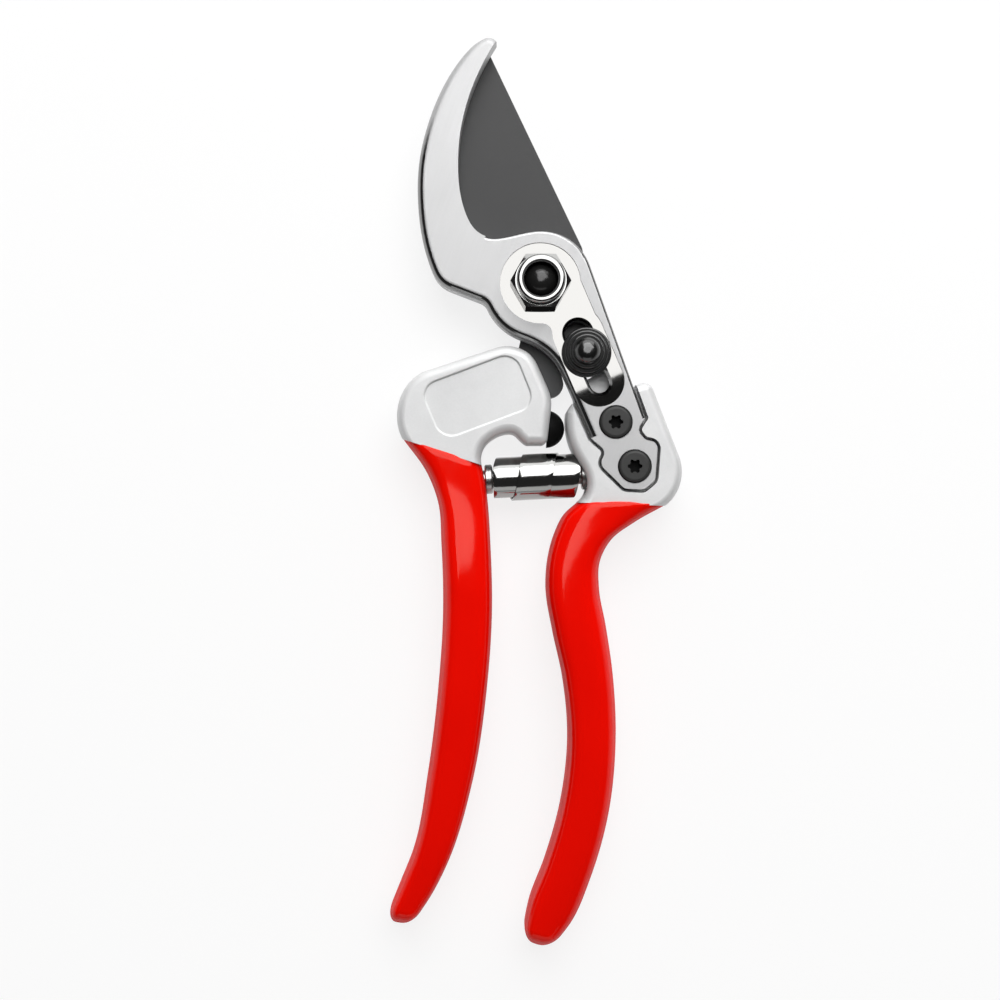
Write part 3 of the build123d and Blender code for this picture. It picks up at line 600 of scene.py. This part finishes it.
# closed skin: from the stem's end up its inner wall, round the lip and down the outside to the round end
def dippedSkin(setup):
    shape = dipShape
    sides = {side: smoothLine(setup[side]) for side in ("outer", "inner")}
    span = sides["outer"][1][-1]
    end = 1 + setup["reach"] / span
    capFrom = end - shape["cap"] / span
    form = bmesh.new()
    rings = []
    for step in range(shape["stemSteps"], -1, -1):
        share = (1 - shape["stemEnd"] / span) * step / shape["stemSteps"]
        rings.append(dipRing(form, setup, sides, share, inset=shape["wall"]))
    for forward, inset in shape["lip"]:
        rings.append(dipRing(form, setup, sides, 0.0, inset=inset, forward=forward))
    for step in range(1, shape["along"] + 1):
        share = shape["lipShare"] + (capFrom - shape["lipShare"]) * step / shape["along"]
        rings.append(dipRing(form, setup, sides, share))
    for step in range(1, shape["capSteps"]):
        turn = pi / 2 * step / shape["capSteps"]
        left = (1 - sin(turn) ** shape["capSquare"]) ** (1 / shape["capSquare"])
        rings.append(dipRing(form, setup, sides, capFrom + (end - capFrom) * sin(turn), scale=left))
    for first, second in zip(rings, rings[1:]):
        for corners in zip(first, first[1:] + first[:1], second[1:] + second[:1], second):
            form.faces.new(corners)
    form.faces.new(rings[0])
    form.faces.new(rings[-1])
    bmesh.ops.recalc_face_normals(form, faces=form.faces)
    return form


for node, setup in dips.items():
    piece = addPiece(setup["name"], dippedSkin(setup), "redDip")
    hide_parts(node)
    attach(piece, setup["body"])
print(len(dips), "dipped skins made")

# camera straight above, at the photograph's place
cameraSetup = {"place": (-9.58 * mm, -51.5 * mm, 358.5 * mm), "lens": 52.2, "sensor": 36.0, "clip": 0.005}


def addCamera(setup):
    data = bpy.data.cameras.new("photoCamera")
    data.lens = setup["lens"]
    data.sensor_width = setup["sensor"]
    data.clip_start = setup["clip"]
    camera = bpy.data.objects.new("photoCamera", data)
    camera.location = setup["place"]
    bpy.context.collection.objects.link(camera)
    bpy.context.scene.camera = camera


# lamps: place, tilt in degrees from facing straight down, width and height in metres, brightness of the face
lamps = {
    "softbox": {"place": (0.110, 0.636, 0.9), "tilt": (0, 0, 23), "size": (0.90, 1.055), "bright": 4.6},
    "backCard": {"place": (0.35, 1.75, 0.85), "tilt": (-64, 0, 0), "size": (2.6, 1.5), "bright": 2.2},
    "fillCard": {"place": (0.0, -1.1, 0.55), "tilt": (64, 0, 0), "size": (1.2, 0.5), "bright": 0.9},
}


def addLamp(name, setup):
    data = bpy.data.lights.new(name, "AREA")
    data.shape = "RECTANGLE"
    data.size, data.size_y = setup["size"]
    data.energy = setup["bright"] * pi * data.size * data.size_y
    lamp = bpy.data.objects.new(name, data)
    lamp.location = setup["place"]
    lamp.rotation_euler = [radians(angle) for angle in setup["tilt"]]
    lamp.visible_camera = False
    bpy.context.collection.objects.link(lamp)


# studio room: dark overhead, pale round the horizon
room = {"overhead": (0.04, 0.04, 0.04, 1), "horizon": (0.85, 0.85, 0.85, 1), "from": 0.08, "to": 0.32}


def addWorld(setup):
    world = bpy.data.worlds.new("studioRoom")
    world.use_nodes = True
    bpy.context.scene.world = world
    tree = world.node_tree
    direction = makeNode(tree, "ShaderNodeTexCoord").outputs["Generated"]
    height = makeNode(tree, "ShaderNodeSeparateXYZ", {0: direction}).outputs["Z"]
    share = makeRange(tree, height, setup["from"], setup["to"])
    colour = mixColour(tree, share, setup["horizon"], setup["overhead"])
    tree.links.new(colour, tree.nodes["Background"].inputs["Color"])


# white table, bright to the eye and to metal, that still takes the shadow
table = {
    "size": 6.0, "colour": (0.90, 0.90, 0.90, 1), "roughness": 0.8, "glow": (1, 1, 1, 1), "ownLight": 0.82,
    "drop": 0.02 * mm,
}


def addTable(setup):
    form = bmesh.new()
    bmesh.ops.create_grid(form, x_segments=1, y_segments=1, size=setup["size"] / 2)
    mesh = bpy.data.meshes.new("tableTop")
    bmesh.ops.translate(form, verts=form.verts, vec=(0, 0, cadBox[0][2] - setup["drop"]))
    form.to_mesh(mesh)
    form.free()
    plain = {"Base Color": setup["colour"], "Roughness": setup["roughness"]}
    material, tree, shader = startMaterial("whiteTable", plain)
    rays = makeNode(tree, "ShaderNodeLightPath").outputs
    seen = makeMath(tree, "MAXIMUM", rays["Is Camera Ray"],
                    makeMath(tree, "MAXIMUM", rays["Is Glossy Ray"], rays["Is Transmission Ray"]))
    glow = makeNode(tree, "ShaderNodeEmission", {"Color": setup["glow"], "Strength": 1.0})
    share = makeMath(tree, "MULTIPLY", seen, setup["ownLight"])
    mixed = makeNode(tree, "ShaderNodeMixShader", {0: share, 1: shader.outputs[0], 2: glow.outputs[0]})
    tree.links.new(mixed.outputs[0], tree.nodes["Material Output"].inputs["Surface"])
    mesh.materials.append(material)
    top = bpy.data.objects.new("tableTop", mesh)
    bpy.context.collection.objects.link(top)


addCamera(cameraSetup)
for lampName, lampSetup in lamps.items():
    addLamp(lampName, lampSetup)
addWorld(room)
addTable(table)
bpy.context.scene.view_settings.view_transform = "Standard"
print("camera, lamps, room and table set")
